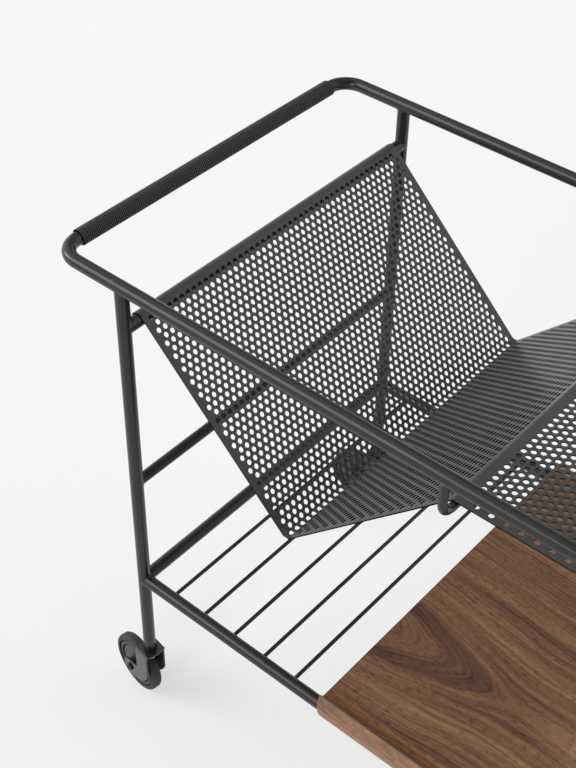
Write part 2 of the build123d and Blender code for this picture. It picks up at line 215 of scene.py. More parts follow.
# %% [markdown]
# The tone adds the three noises up. Inside the ring of the arch the wood is a shade darker. A colour
# ramp turns the tone into brown, the pores darken it, and the pale wood is a little glossier.

# %% Tone and colour
BAND_SHARE, STREAK_SHARE, TONE_SHIFT = 0.78, 0.5, -0.14
LINE_SHADE, ARCH_SHADE, ARCH_EASE = -0.15, -0.085, 5 * MM
tone = node(tree, "Math", {0: streaks, 1: STREAK_SHARE, 2: TONE_SHIFT}, operation="MULTIPLY_ADD")
tone = node(tree, "Math", {0: bands, 1: BAND_SHARE, 2: tone.outputs[0]}, operation="MULTIPLY_ADD")
thin = {"Value": lines, "From Min": 0.30, "From Max": 0.44, "To Min": LINE_SHADE, "To Max": 0.0}
dark_lines = node(tree, "MapRange", thin).outputs["Result"]
tone = node(tree, "Math", {0: tone.outputs[0], 1: dark_lines}, operation="ADD")
past_arch = node(tree, "Math", {0: from_pith, 1: ARCH_RING}, operation="SUBTRACT").outputs[0]
inside_arch = {"Value": past_arch, "From Max": ARCH_EASE, "To Min": ARCH_SHADE, "To Max": 0.0}
arch = node(tree, "MapRange", inside_arch).outputs["Result"]
tone = node(tree, "Math", {0: tone.outputs[0], 1: arch}, operation="ADD").outputs[0]
browns = [(0.27, "#4D3325"), (0.74, "#B78D5F"), (0.40, "#704F3C"), (0.52, "#8B6449"), (0.62, "#9E7654")]
wood_colour = node(tree, "ValToRGB", {"Fac": tone}, stops=browns).outputs["Color"]
pore_stops = [(0.33, "#8E8077"), (0.52, "#FFFFFF")]
pore_shade = node(tree, "ValToRGB", {"Fac": pores}, stops=pore_stops).outputs["Color"]
wood = node(tree, "Mix", {0: 1.0, 6: wood_colour, 7: pore_shade}, data_type="RGBA", blend_type="MULTIPLY")
oil_gloss = node(
    tree, "MapRange", {"Value": tone, "From Min": 0.3, "From Max": 0.7, "To Min": 0.58, "To Max": 0.44}
)
pore_bump = node(tree, "Bump", {"Height": pores, "Strength": 0.25, "Distance": 0.15 * MM})
tree.links.new(oil_gloss.outputs["Result"], shader.inputs["Roughness"])
tree.links.new(pore_bump.outputs["Normal"], shader.inputs["Normal"])
shader.inputs["Specular IOR Level"].default_value = 0.35
print("walnut in", len(browns), "browns")

# %% [markdown]
# The lips along the board's sides show three tones in the photograph: a yellower strip beside the
# lip, a greyer slope up to it, and a paler rim outside. The rim's paler tone is partly its edge grain
# and partly painted light. Each is found by its place on the board.

# %% Lips of the board
STRIP_IN, STRIP_EASE = 232.0 * MM, 0.8 * MM
RIM_IN, RIM_EASE = 250.0 * MM, 0.6 * MM
SLOPE_FROM, SLOPE_TO, SLOPE_SHARE = 0.6 * MM, 1.2 * MM, 0.75
PALE_SHARE = 0.1
aside = node(tree, "Math", {0: axes.outputs["Y"]}, operation="ABSOLUTE").outputs[0]
in_strip = node(tree, "MapRange", {"Value": aside, "From Min": STRIP_IN, "From Max": STRIP_IN + STRIP_EASE})
on_slope = node(
    tree, "MapRange", {"Value": height, "From Min": SLOPE_FROM, "From Max": SLOPE_TO, "To Max": SLOPE_SHARE}
)
on_rim = node(tree, "MapRange", {"Value": aside, "From Min": RIM_IN, "From Max": RIM_IN + RIM_EASE})
strip = {0: in_strip.outputs["Result"], 6: wood.outputs[2], 7: linear("#E4D2AE")}
strip_wood = node(tree, "Mix", strip, data_type="RGBA", blend_type="MULTIPLY")
slope = {0: on_slope.outputs["Result"], 6: strip_wood.outputs[2], 7: linear("#6B6156")}
slope_wood = node(tree, "Mix", slope, data_type="RGBA")
# The rims' outer faces are paler, partly edge grain and partly painted light
paler_edge_grain_and_light = node(tree, "Mix", {0: PALE_SHARE, 6: wood.outputs[2], 7: linear("#B68F6E")}, data_type="RGBA")
rim = {0: on_rim.outputs["Result"], 6: slope_wood.outputs[2], 7: paler_edge_grain_and_light.outputs[2]}
rim_wood = node(tree, "Mix", rim, data_type="RGBA")
tree.links.new(rim_wood.outputs[2], shader.inputs["Base Color"])
print("finish:", walnut.name, "pith under y", PITH_Y, "m")

# %% [markdown]
# ## Rubber, plastics and small steel parts
# The caster has a fork of pressed and coated sheet, a moulded core, a rubber tyre and small fasteners.
# Each gets its own grain of about a millimetre: moulding texture on the plastic, dust in the rubber
# and fine turning marks on the plated steel. One function serves them all, because each is two near
# colours in a fine grain that also sets the roughness and the bump.

# %% The smaller finishes
GRAIN_DEPTH = 0.1 * MM
ROUGH_SWING = 0.06


def speckled(name, dark, light, grain_mm, rough, bump, metal=0.0, stretch=(1, 1, 1)):
    """A finish of two near colours in a fine grain, with roughness and bump from the same grain."""
    finish, tree, shader, place = new_finish(name)
    drawn = node(tree, "Mapping", {"Vector": place, "Scale": stretch}).outputs["Vector"]
    fine = {"Vector": drawn, "Scale": 1 / (grain_mm * MM), "Detail": 4.0}
    specks = node(tree, "TexNoise", fine).outputs["Fac"]
    colour = node(tree, "ValToRGB", {"Fac": specks}, stops=[(0.32, dark), (0.68, light)])
    low, high = rough - ROUGH_SWING, rough + ROUGH_SWING
    gloss = node(
        tree, "MapRange", {"Value": specks, "From Min": 0.3, "From Max": 0.7, "To Min": low, "To Max": high}
    )
    relief = node(tree, "Bump", {"Height": specks, "Strength": bump, "Distance": GRAIN_DEPTH})
    tree.links.new(colour.outputs["Color"], shader.inputs["Base Color"])
    tree.links.new(gloss.outputs["Result"], shader.inputs["Roughness"])
    tree.links.new(relief.outputs["Normal"], shader.inputs["Normal"])
    shader.inputs["Metallic"].default_value = metal
    return finish


# Pressed steel under a smooth coat gives sharp reflections and bright bends
fork_coat = speckled("coated_pressed_steel", "#1E1E1F", "#282829", 1.5, 0.15, 0.03)
# Moulded rubber is dull and dusty, with no clear highlight
tyre_rubber = speckled("solid_rubber", "#222222", "#303030", 1.2, 0.66, 0.3)
# Moulded nylon with glass in it has a soft grey bloom
core_nylon = speckled("glass_filled_nylon", "#2A2A2B", "#363637", 0.9, 0.48, 0.15)
# Plain black nylon is darker, and smooth to the eye
washer_nylon = speckled("black_nylon", "#0C0C0D", "#141415", 1.0, 0.50, 0.1)
# Zinc on turned steel is a bright metal with fine marks from the lathe
plated_steel = speckled(
    "zinc_plated_steel", "#A4A6A8", "#C2C4C6", 0.8, 0.32, 0.1, metal=1.0, stretch=(1, 1, 4)
)
# Black oxide leaves steel dark, with a soft and oily shine
oxide_steel = speckled("black_oxide_steel", "#19191A", "#242425", 0.8, 0.38, 0.1)
print("small finishes: fork, tyre, core, washer, plated and oxide")

# %% [markdown]
# ## Waxed cord
# The handle's cord looks like waxed black cotton. Its crests are painted lighter, as painted light, and
# the gaps between the turns near black, as painted shade. So the cord's tone and shine follow the
# distance from the handle's axis, which needs no map of the winding, and fine fibres break the tone up.

# %% Waxed cord
FIBRE = 1.0 * MM
FIBRE_SHARE = 0.4
CREST = 0.9 * MM
# Waxed cord, with painted light on the crests and painted shade in the gaps between the turns
waxed_cord, tree, shader, place = new_finish("waxed_cotton_cord")
wrap_low, wrap_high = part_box("handle_wrap")
wrap_middle, wrap_r = (wrap_low + wrap_high) / 2, (wrap_high.x - wrap_low.x) / 2
from_middle = node(tree, "VectorMath", {0: place, 1: wrap_middle}, operation="SUBTRACT")
from_axis = node(tree, "VectorMath", {0: from_middle.outputs[0], 1: (1, 0, 1)}, operation="MULTIPLY")
reach = node(tree, "VectorMath", {0: from_axis.outputs[0]}, operation="LENGTH").outputs["Value"]
outermost = {"Value": reach, "From Min": wrap_r - CREST, "From Max": wrap_r}
crest = node(tree, "MapRange", outermost).outputs["Result"]
drawn = node(tree, "Mapping", {"Vector": place, "Scale": (1, 3, 1)}).outputs["Vector"]
fibres = node(tree, "TexNoise", {"Vector": drawn, "Scale": 1 / FIBRE, "Detail": 4.0}).outputs["Fac"]
# Fibres break up the tone, and the crests are painted lighter as light
fibres_and_crest_light = node(tree, "Math", {0: fibres, 1: FIBRE_SHARE, 2: -FIBRE_SHARE / 2}, operation="MULTIPLY_ADD")
fibres_and_crest_light = node(tree, "Math", {0: fibres_and_crest_light.outputs[0], 1: crest}, operation="ADD")
cord_colour = node(tree, "ValToRGB", {"Fac": fibres_and_crest_light.outputs[0]}, stops=[(0.50, "#050505"), (1.0, "#505052")])
cord_shine = node(tree, "MapRange", {"Value": crest, "From Min": 0.5, "To Min": 0.02, "To Max": 0.6})
fibre_bump = node(tree, "Bump", {"Height": fibres, "Strength": 0.5, "Distance": 0.1 * MM})
tree.links.new(cord_colour.outputs["Color"], shader.inputs["Base Color"])
tree.links.new(cord_shine.outputs["Result"], shader.inputs["Specular IOR Level"])
tree.links.new(fibre_bump.outputs["Normal"], shader.inputs["Normal"])
shader.inputs["Roughness"].default_value = 0.5
print("finish:", waxed_cord.name)

# %% [markdown]
# ## Finishes onto pieces
# Each solid says which material slot it belongs to. One table joins the slots to the finishes, which
# is shorter than naming every piece and leaves none of them bare.

# %% Every piece takes the finish of its slot
finishes = {
    "powder_coat": powder_coat,
    "walnut": walnut,
    "handle_cord": waxed_cord,
    "fork_steel": fork_coat,
    "black_steel": oxide_steel,
    "zinc_steel": plated_steel,
    "nylon": washer_nylon,
    "wheel_plastic": core_nylon,
    "tyre_rubber": tyre_rubber,
}
slot_of = {row["node"]: row["material_slot"] for row in frame["record"]["subparts"]}
for name, cad_piece in frame["nodes"].items():
    cad_piece.data.materials.clear()
    cad_piece.data.materials.append(finishes[slot_of[name]])
print("finishes:", sorted(finish.name for finish in finishes.values()))

# %% [markdown]
# ## Punched sheet
# The tray is one steel sheet, punched with thousands of round holes in staggered rows, then hooked
# over a bar, folded into a trough and run flat to the other bar. A hole texture would look flat from
# the side, so the holes are real. The sheet is laid out flat first, one small cell for each hole, and
# the flat layout is then rolled along the folded line, as the sheet itself was.

# %% The folded line
SHEET = 1.5 * MM
HEM_R, HEM_STEPS = 8.8 * MM, 24
FOLD_R, FOLD_STEPS = 4.5 * MM, 12
TROUGH_IN, TROUGH_DROP = 212.7 * MM, 193.4 * MM
SHOULDER_IN = 412.1 * MM
bar_low, bar_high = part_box("left_tray_bar")
bar_x, bar_z = (bar_low.x + bar_high.x) / 2, (bar_low.z + bar_high.z) / 2
right_x = -bar_x
trough = Vector((bar_x + TROUGH_IN, bar_z - TROUGH_DROP))
shoulder = Vector((bar_x + SHOULDER_IN, bar_z + HEM_R))


def arc(centre, radius, start, turn, steps):
    angles = [start + turn * step / steps for step in range(steps + 1)]
    return [Vector((centre[0] + radius * cos(a), centre[1] + radius * sin(a))) for a in angles]


def fold(before, corner, after):
    """The rounded fold at a corner, as points from where it starts to where it ends."""
    into, out = (corner - before).normalized(), (after - corner).normalized()
    turn = into.angle_signed(out) * -1
    reach = FOLD_R * tan(abs(turn) / 2)
    side = 1 if turn > 0 else -1
    start = corner - into * reach
    centre = start + Vector((-into.y, into.x)) * FOLD_R * side
    first = atan2(start.y - centre.y, start.x - centre.x)
    return arc(centre, FOLD_R, first, turn, FOLD_STEPS)


to_trough = Vector((TROUGH_IN, -TROUGH_DROP))
hem_angle = atan2(to_trough.y, to_trough.x) + acos(HEM_R / to_trough.length)
left_hem = arc((bar_x, bar_z), HEM_R, hem_angle + pi, -pi, HEM_STEPS)
right_hem = arc((right_x, bar_z), HEM_R, pi / 2, -pi, HEM_STEPS)
trough_fold = fold(left_hem[-1], trough, shoulder)
shoulder_fold = fold(trough, shoulder, right_hem[0])
line = np.array([tuple(p) for p in left_hem + trough_fold + shoulder_fold + right_hem])
run = np.concatenate([[0.0], np.cumsum(np.hypot(*np.diff(line, axis=0).T))])
shoulder_start = len(left_hem) + len(trough_fold)
shoulder_end = shoulder_start + len(shoulder_fold) - 1
hem_run, end_run = run[len(left_hem) - 1], run[-len(right_hem)]
shoulder_run = (run[shoulder_start] + run[shoulder_end]) / 2
print("sheet cut to", round(run[-1] / MM, 1), "mm long")

# %% [markdown]
# The rows of holes are a closest packing: each row is half a step along from the one before. In the
# trough all rows have the same number of holes and lean to the near side and the far side in turn. On
# the flat they are centred and change between two numbers. Each hole sits in a cell of six corners that
# it shares with its neighbours, so the cells join into one sheet with no gaps. A plain band is left at
# the hems, along the sides and at the shoulder.

# %% One cell with its hole
PITCH = 9.59 * MM
ROW = 8.275 * MM
HOLE_R = 6.45 / 2 * MM
HOLE_SIDES = 12
cell_corners = [(-ROW / 2, step * PITCH / 2) for step in (-1, 0, 1)]
cell_corners += [(ROW / 2, step * PITCH / 2) for step in (1, 0, -1)]
hole_turns = [2 * pi * number / HOLE_SIDES for number in range(HOLE_SIDES)]
hole_corners = [(HOLE_R * sin(turn), HOLE_R * cos(turn)) for turn in hole_turns]


def ring_triangles(outside, inside):
    """Join two closed outlines with triangles, walking round both by angle."""

    def turn_of(point):
        return atan2(point[0], point[1]) % (2 * pi)

    outer = sorted(range(len(outside)), key=lambda i: turn_of(outside[i]))
    inner = sorted(range(len(inside)), key=lambda i: turn_of(inside[i]))
    outer_turns = [turn_of(outside[i]) for i in outer] + [inf]
    inner_turns = [turn_of(inside[i]) for i in inner[1:]] + [turn_of(inside[inner[0]]) + 2 * pi, inf]
    triangles, a, b = [], 0, 0
    while a < len(outer) or b < len(inner):
        last, here = ("outer", outer[a - 1]), ("inner", inner[b % len(inner)])
        if outer_turns[a] <= inner_turns[b]:
            triangles.append((last, ("outer", outer[a]), here))
            a += 1
        else:
            triangles.append((last, ("inner", inner[(b + 1) % len(inner)]), here))
            b += 1
    return triangles


cell_triangles = ring_triangles(cell_corners, hole_corners)
print("triangles round each hole:", len(cell_triangles))

# %% Rows of holes
IN_ROW = 45
LEAN = 0.25
KEYS_PER_METRE = 1e7
LEAST_PATCH = 0.01 * MM
tray_low, tray_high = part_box("folded_tray")
half_width = (tray_high.y - tray_low.y) / 2
trough_half = (IN_ROW / 2 + LEAN) * PITCH
flat_half = (IN_ROW / 2 + 0.5) * PITCH
plain_edge = [-half_width, half_width]
points, point_number, sheet_faces = [], {}, []


def corner_at(s, y):
    """The number of the point at run s and width y, which neighbours share."""
    key = (round(s * KEYS_PER_METRE), round(y * KEYS_PER_METRE))
    if key not in point_number:
        point_number[key] = len(points)
        points.append((s, y))
    return point_number[key]


def punched_row(s, holes, shift, half_field):
    """One row of holes at run s, moved sideways by a share of a step."""
    first = (shift - (holes - 1) / 2) * PITCH
    for number in range(holes):
        y = first + number * PITCH
        corners = {
            "outer": [corner_at(s + ds, y + dy) for ds, dy in cell_corners],
            "inner": [corner_at(s + ds, y + dy) for ds, dy in hole_corners],
        }
        for triangle in cell_triangles:
            sheet_faces.append([corners[ring][i] for ring, i in triangle])
    row_low, row_high = first - PITCH / 2, first + (holes - 0.5) * PITCH
    near_end = (-half_width, -half_field), (-half_field, row_low)
    far_end = (row_high, half_field), (half_field, half_width)
    for a, b in near_end + far_end:
        if b - a > LEAST_PATCH:
            patch = (-ROW / 2, a), (-ROW / 2, b), (ROW / 2, b), (ROW / 2, a)
            sheet_faces.append([corner_at(s + ds, y) for ds, y in patch])


print("holes in a row:", IN_ROW)

# %% Plain bands
LEAST_STEP = 0.2 * MM


def field_edge(half_field):
    """The corners of the cells along the first or last edge of a field of holes."""
    half_cells = round(4 * half_field / PITCH)
    return [-half_width, *np.linspace(-half_field, half_field, half_cells + 1), half_width]


def stations_between(low, high):
    """Both ends and the points of the folded line between them."""
    return [low, *[s for s in run if low + LEAST_STEP < s < high - LEAST_STEP], high]


def plain_band(low, high, before, after):
    """A band without holes from run low to run high, with the given corners at its two ends."""
    stations = stations_between(low, high)
    edges = [before] + [plain_edge] * (len(stations) - 2) + [after]
    for s0, s1, start, end in zip(stations, stations[1:], edges, edges[1:]):
        sheet_faces.append([corner_at(s0, y) for y in start] + [corner_at(s1, y) for y in reversed(end)])


print("corners along the flat's edge:", len(field_edge(flat_half)))

# %% Lay the sheet out
FIRST_ROW = 4.65 * MM
BEFORE_SHOULDER, AFTER_SHOULDER = 9.0 * MM, 14.0 * MM
BEFORE_END = 4.0 * MM
trough_first, flat_first = hem_run + FIRST_ROW, shoulder_run + AFTER_SHOULDER
trough_rows = int((shoulder_run - BEFORE_SHOULDER - hem_run - FIRST_ROW) / ROW) + 1
flat_rows = int((end_run - BEFORE_END - shoulder_run - AFTER_SHOULDER) / ROW) + 1
for number in range(trough_rows):
    punched_row(trough_first + number * ROW, IN_ROW, LEAN if number % 2 else -LEAN, trough_half)
for number in range(flat_rows):
    punched_row(flat_first + number * ROW, IN_ROW + number % 2, 0.0, flat_half)
trough_edge, flat_edge = field_edge(trough_half), field_edge(flat_half)
trough_end, flat_end = trough_first + (trough_rows - 0.5) * ROW, flat_first + (flat_rows - 0.5) * ROW
plain_band(0.0, trough_first - ROW / 2, plain_edge, trough_edge)
plain_band(trough_end, flat_first - ROW / 2, trough_edge, flat_edge)
plain_band(flat_end, run[-1], flat_edge, plain_edge)
print("rows:", trough_rows, "in the trough,", flat_rows, "on the flat")

# %% [markdown]
# Now the flat layout is rolled up: each point's run along the sheet is looked up on the folded line,
# and pushed half the sheet's thickness to either side. Walls close the sheet at every open edge, and
# that includes each hole. The walls take the near-black coat of painted shade, and the faces the
# sheet's own paler coat of painted light.

# %% Roll the layout along the folded line
def new_piece(name, vertices, faces, slot, body="frame", sharp=40):
    mesh = bpy.data.meshes.new(name)
    mesh.from_pydata([tuple(v) for v in vertices], [], [list(f) for f in faces])
    mesh.update()
    mesh.shade_smooth()
    mesh.set_sharp_from_angle(angle=radians(sharp))
    mesh.materials.append(finishes[slot])
    piece = bpy.data.objects.new(name, mesh)
    bpy.context.scene.collection.objects.link(piece)
    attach(piece, body)
    return piece


def on_line(s):
    return np.stack([np.interp(s, run, line[:, 0]), np.interp(s, run, line[:, 1])], axis=1)


PROBE = 0.05 * MM
layout = np.array(points)
middle = on_line(layout[:, 0])
ahead = on_line(np.minimum(layout[:, 0] + PROBE, run[-1])) - on_line(np.maximum(layout[:, 0] - PROBE, 0))
ahead /= np.linalg.norm(ahead, axis=1, keepdims=True)
up = np.stack([-ahead[:, 1], ahead[:, 0]], axis=1)
top, under = middle + up * SHEET / 2, middle - up * SHEET / 2
sheet_points = [(x, y, z) for side in (top, under) for (x, z), y in zip(side, layout[:, 1])]
print("points on each side of the sheet:", len(layout))

# %% Close the sheet
edges_used = {}
for face in sheet_faces:
    for a, b in zip(face, face[1:] + face[:1]):
        edges_used[(a, b)] = True
count = len(layout)
walls = [(b, a, a + count, b + count) for a, b in edges_used if (b, a) not in edges_used]
under_faces = [[i + count for i in reversed(face)] for face in sheet_faces]
closed = sheet_faces + under_faces + walls
punched_sheet = new_piece("punched_sheet", sheet_points, closed, "powder_coat", sharp=50)
work = bmesh.new()
work.from_mesh(punched_sheet.data)
bmesh.ops.recalc_face_normals(work, faces=work.faces)
open_edges = sum(not edge.is_manifold for edge in work.edges)
work.to_mesh(punched_sheet.data)
work.free()
# The faces take the paler coat of painted light, the walls the near-black coat of painted shade
punched_sheet.data.materials.clear()
for coat in (lit_sheet_coat, hole_shade_coat):
    punched_sheet.data.materials.append(coat)
is_wall = np.arange(len(closed)) >= 2 * len(sheet_faces)
punched_sheet.data.polygons.foreach_set("material_index", is_wall.astype(np.int32))
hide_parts("folded_tray")
print("punched sheet:", len(closed), "faces,", open_edges, "open edges")

# %% [markdown]
# ## Wound handle
# The push handle is the end of the top rail with cord wound round it in close turns. A bump pattern
# would leave its outline smooth, so the cord is swept along one long helix, with a cross-section a
# little flatter than round where the winding has pressed it against the tube.

# %% The cord's helix
CORD_WIDE = 2.4 * MM
CORD_HIGH = 2.15 * MM
CORD_PITCH = 2.59 * MM
TURN_STEPS = 28
CORD_SIDES = 10
handle_x, handle_z = wrap_middle.x, wrap_middle.z
helix_length = wrap_high.y - wrap_low.y - CORD_WIDE
turns = int(helix_length / CORD_PITCH)
turn_pitch = helix_length / turns
cord_r = wrap_r - CORD_HIGH / 2
cord_points, cord_faces = [], []
for step in range(turns * TURN_STEPS + 1):
    angle = 2 * pi * step / TURN_STEPS
    y = wrap_low.y + CORD_WIDE / 2 + turn_pitch * step / TURN_STEPS
    for side in range(CORD_SIDES):
        lean = 2 * pi * side / CORD_SIDES
        radius = cord_r + CORD_HIGH / 2 * sin(lean)
        x, z = handle_x + radius * cos(angle), handle_z + radius * sin(angle)
        cord_points.append((x, y + CORD_WIDE / 2 * cos(lean), z))
for step in range(turns * TURN_STEPS):
    for side in range(CORD_SIDES):
        a, b = step * CORD_SIDES + side, step * CORD_SIDES + (side + 1) % CORD_SIDES
        cord_faces.append((a, b, b + CORD_SIDES, a + CORD_SIDES))
cord_faces.append(range(CORD_SIDES - 1, -1, -1))
cord_faces.append(range(len(cord_points) - CORD_SIDES, len(cord_points)))
wound_cord = new_piece("wound_cord", cord_points, cord_faces, "handle_cord", sharp=60)
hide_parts("handle_wrap")
print("cord:", turns, "turns of", round(turn_pitch / MM, 2), "mm")

# %% [markdown]
# ## Eased edges
# No real edge is perfectly sharp: a joiner breaks the edges of a board with sandpaper, and pressed or
# turned parts come with a small round. That round catches the light and draws the bright lines along
# the fork in the photograph. A bevel shader would show only in the render, so the solids are copied,
# their sharp edges are found by angle, and each is rounded by a fraction of a millimetre.

# %% An eased copy of a solid
SAME_POINT = 0.002 * MM
FLAT_DEGREES, SHARP_DEGREES = 0.5, 35


def eased_copy(cad_name, piece_name, width, body, reshape=None):
    """A copy of a solid with rounded edges, after reshape has moved its points."""
    work = bmesh.new()
    work.from_mesh(frame["nodes"][cad_name].data)
    if reshape:
        for vertex in work.verts:
            reshape(vertex.co)
    bmesh.ops.remove_doubles(work, verts=work.verts, dist=SAME_POINT)
    bmesh.ops.dissolve_limit(work, angle_limit=radians(FLAT_DEGREES), verts=work.verts, edges=work.edges)
    least = radians(SHARP_DEGREES)
    sharp = [e for e in work.edges if len(e.link_faces) == 2 and e.calc_face_angle() > least]
    bmesh.ops.bevel(
        work, geom=sharp, offset=width, segments=2, profile=0.5, affect="EDGES", clamp_overlap=True
    )
    mesh = bpy.data.meshes.new(piece_name)
    work.to_mesh(mesh)
    work.free()
    mesh.shade_smooth()
    mesh.materials.append(finishes[slot_of[cad_name]])
    piece = bpy.data.objects.new(piece_name, mesh)
    bpy.context.scene.collection.objects.link(piece)
    piece.modifiers.new("even_shading", "WEIGHTED_NORMAL").keep_sharp = True
    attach(piece, body)
    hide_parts(cad_name)


print("edges sharper than", SHARP_DEGREES, "degrees are eased")

# %% [markdown]
# The board and the forks change shape a little first. The cove inside the board's lips becomes a
# straight slope, and the bends of the forks open to the wider round that the photograph shows on the
# pressed sheet. Moving points of the solids is enough for both, so nothing has to be modelled again.

# %% Sanded slope and pressed bends
NEAR = 0.01 * MM
LIP_FOOT, LIP_IN = 243.0 * MM, 249.0 * MM
LIP_HIGH = 7.2 * MM
FORK_HALF = 15.2 * MM
SOLID_BEND, PRESSED_BEND = 1.2 * MM, 2.3 * MM
joint_of = {joint["child"]: joint for joint in frame["record"]["behaviour"]["joints"]}


def sanded_slope(place):
    """The cove inside the lips, sanded to a straight slope."""
    out = abs(place.y)
    if LIP_FOOT - NEAR < out < LIP_IN + NEAR and FACE_Z + NEAR < place.z:
        place.z = FACE_Z + LIP_HIGH * (out - LIP_FOOT) / (LIP_IN - LIP_FOOT)


def wider_bend(corner):
    """Opens the bends between a fork's top and its cheeks to the round of a pressed sheet."""
    pivot = Vector(joint_of[f"{corner}_caster"]["pos_m"])
    axle = Vector(joint_of[f"{corner}_wheel"]["axis"])
    growth = PRESSED_BEND / SOLID_BEND - 1

    def reshape(place):
        aside = (place - pivot).dot(axle)
        from_cheek, from_top = abs(aside) - FORK_HALF, place.z - pivot.z
        if min(from_cheek, from_top) > -SOLID_BEND - NEAR:
            place += axle * growth * (from_cheek if aside > 0 else -from_cheek)
            place.z += from_top * growth

    return reshape


print("bends of the forks opened to", round(PRESSED_BEND / MM, 1), "mm")

# %% Ease the board and the casters
eased = {"fork": 0.35 * MM, "axle_bolt": 0.25 * MM, "axle_nut": 0.3 * MM}
corners = ("near_left", "far_left", "near_right", "far_right")
eased_copy("walnut_board", "sanded_board", 0.4 * MM, "frame", sanded_slope)
for corner in corners:
    for part, width in eased.items():
        reshape = wider_bend(corner) if part == "fork" else None
        eased_copy(f"{corner}_{part}", f"{corner}_{part}_eased", width, f"{corner}_caster", reshape)
print("eased pieces:", 1 + len(corners) * len(eased))

# %% [markdown]
# ## Turned wheels
# A wheel shows every facet of a coarse outline, so the tyres and the cores are turned anew, as on a
# lathe. Each is a closed outline in pairs of distance along the axle and radius, with small rounds at
# its edges, swung round the axle that the wheel rolls on. The outlines are in millimetres, as on a
# drawing, and become metres when they are swung.

# %% Outlines of the tyre and the core
TYRE_HALF, TYRE_IN, TYRE_OUT = 7.3, 35.8, 42.75
TYRE_ROUND, SEAT_ROUND = 4.0, 0.4
HUB_ROUND, RING_ROUND = 0.6, 0.7
ROUND_STEPS = 6


def rounded(outline, rounds):
    """An outline in millimetres with the listed corners cut by short arcs."""
    shape = []
    for number, corner in enumerate(outline):
        here = Vector(corner)
        before, after = Vector(outline[number - 1]), Vector(outline[(number + 1) % len(outline)])
        radius = rounds.get(number, 0.0)
        if not radius:
            shape.append(here)
            continue
        into, out = (before - here).normalized() * radius, (after - here).normalized() * radius
        for step in range(ROUND_STEPS + 1):
            lean = pi / 2 * step / ROUND_STEPS
            shape.append(here + into * (1 - sin(lean)) + out * (1 - cos(lean)))
    return shape


tyre_corners = [(-TYRE_HALF, TYRE_IN), (TYRE_HALF, TYRE_IN), (TYRE_HALF, TYRE_OUT), (-TYRE_HALF, TYRE_OUT)]
tyre_outline = rounded(tyre_corners, {0: SEAT_ROUND, 1: SEAT_ROUND, 2: TYRE_ROUND, 3: TYRE_ROUND})
hub = [(5.5, 10.05), (5.5, 27.3), (3.5, 27.3)]
raised_ring = [(3.5, 29.8), (6.5, 29.8), (6.5, 33.3), (3.5, 33.3), (3.5, 35.75)]
half_core = hub + raised_ring
core_corners = half_core + [(-along, radius) for along, radius in reversed(half_core)]
core_rounds = {1: HUB_ROUND, 14: HUB_ROUND, **{number: RING_ROUND for number in (4, 5, 10, 11)}}
core_outline = rounded(core_corners, core_rounds)
print("points in the outlines:", len(tyre_outline), "and", len(core_outline))

# %% Swing the outlines round the axles
WHEEL_STEPS = 96


def turned(cad_name, outline, joint, body):
    centre, axle = Vector(joint["pos_m"]), Vector(joint["axis"]).normalized()
    out = axle.cross(Vector((0, 0, 1))).normalized()
    vertices, faces = [], []
    for step in range(WHEEL_STEPS):
        angle = 2 * pi * step / WHEEL_STEPS
        spoke = out * cos(angle) + Vector((0, 0, 1)) * sin(angle)
        vertices += [centre + (axle * p.x + spoke * p.y) * MM for p in outline]
    ring = len(outline)
    for step in range(WHEEL_STEPS):
        start, following = step * ring, (step + 1) % WHEEL_STEPS * ring
        for a in range(ring):
            b = (a + 1) % ring
            faces.append((start + b, start + a, following + a, following + b))
    piece = new_piece(f"{cad_name}_turned", vertices, faces, slot_of[cad_name], body, sharp=50)
    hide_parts(cad_name)


for corner in corners:
    body = f"{corner}_wheel"
    turned(f"{corner}_tyre", tyre_outline, joint_of[body], body)
    turned(f"{corner}_wheel_core", core_outline, joint_of[body], body)
print("turned pieces:", 2 * len(corners))

# %% [markdown]
# ## Welds
# Where one tube meets another, the real frame has a small smooth fillet of weld under the paint. Each
# one is a closed ring that leaves the branch tube, curves outwards, lands on the main tube and goes
# back to the root between them. Its foot follows the saddle where two round tubes meet, which a little
# geometry gives for any two diameters, so one function serves every joint.

# %% One weld fillet
RING_STEPS = 40
FILLET_STEPS = 5
LEAST_ROOM = 0.03
OFF_BRANCH, OFF_MAIN = 0.08 * MM, 0.04 * MM


def weld_fillet(foot, branch, branch_r, main, main_r, flare):
    """Rows of points all round the joint, from the branch tube down to the main tube and the root."""
    foot, branch, main = Vector(foot), Vector(branch), Vector(main)
    cross = branch.cross(main)
    room = min(1.0, max(LEAST_ROOM, (main_r - branch_r) / flare))
    leans = [pi / 2 * step / FILLET_STEPS for step in range(FILLET_STEPS + 1)]
    profile = [(flare * (1 - cos(lean)), flare * (1 - sin(lean))) for lean in leans] + [(0.0, 0.0)]
    rows = []
    for out, rise in profile:
        row = []
        for number in range(RING_STEPS):
            turn = 2 * pi * number / RING_STEPS
            share = cos(turn) ** 2 + sin(turn) ** 2 * room
            radius = branch_r + OFF_BRANCH + out * share
            aside = radius * sin(turn)
            saddle = max(main_r ** 2 - aside ** 2, 0.0) ** 0.5 + OFF_MAIN + rise * share
            row.append(foot + main * radius * cos(turn) + cross * aside + branch * saddle)
        rows.append(row)
    return rows


def weld_piece(name, joints):
    vertices, faces = [], []
    for joint in joints:
        rows = weld_fillet(*joint)
        start = len(vertices)
        vertices += [point for row in rows for point in row]
        for number in range(len(rows)):
            this, following = start + number * RING_STEPS, start + (number + 1) % len(rows) * RING_STEPS
            for a in range(RING_STEPS):
                b = (a + 1) % RING_STEPS
                faces.append((following + a, following + b, this + b, this + a))
    new_piece(name, vertices, faces, "powder_coat", sharp=80)
    print(name, "has", len(joints), "fillets")


print("points in each fillet:", RING_STEPS * (FILLET_STEPS + 2))

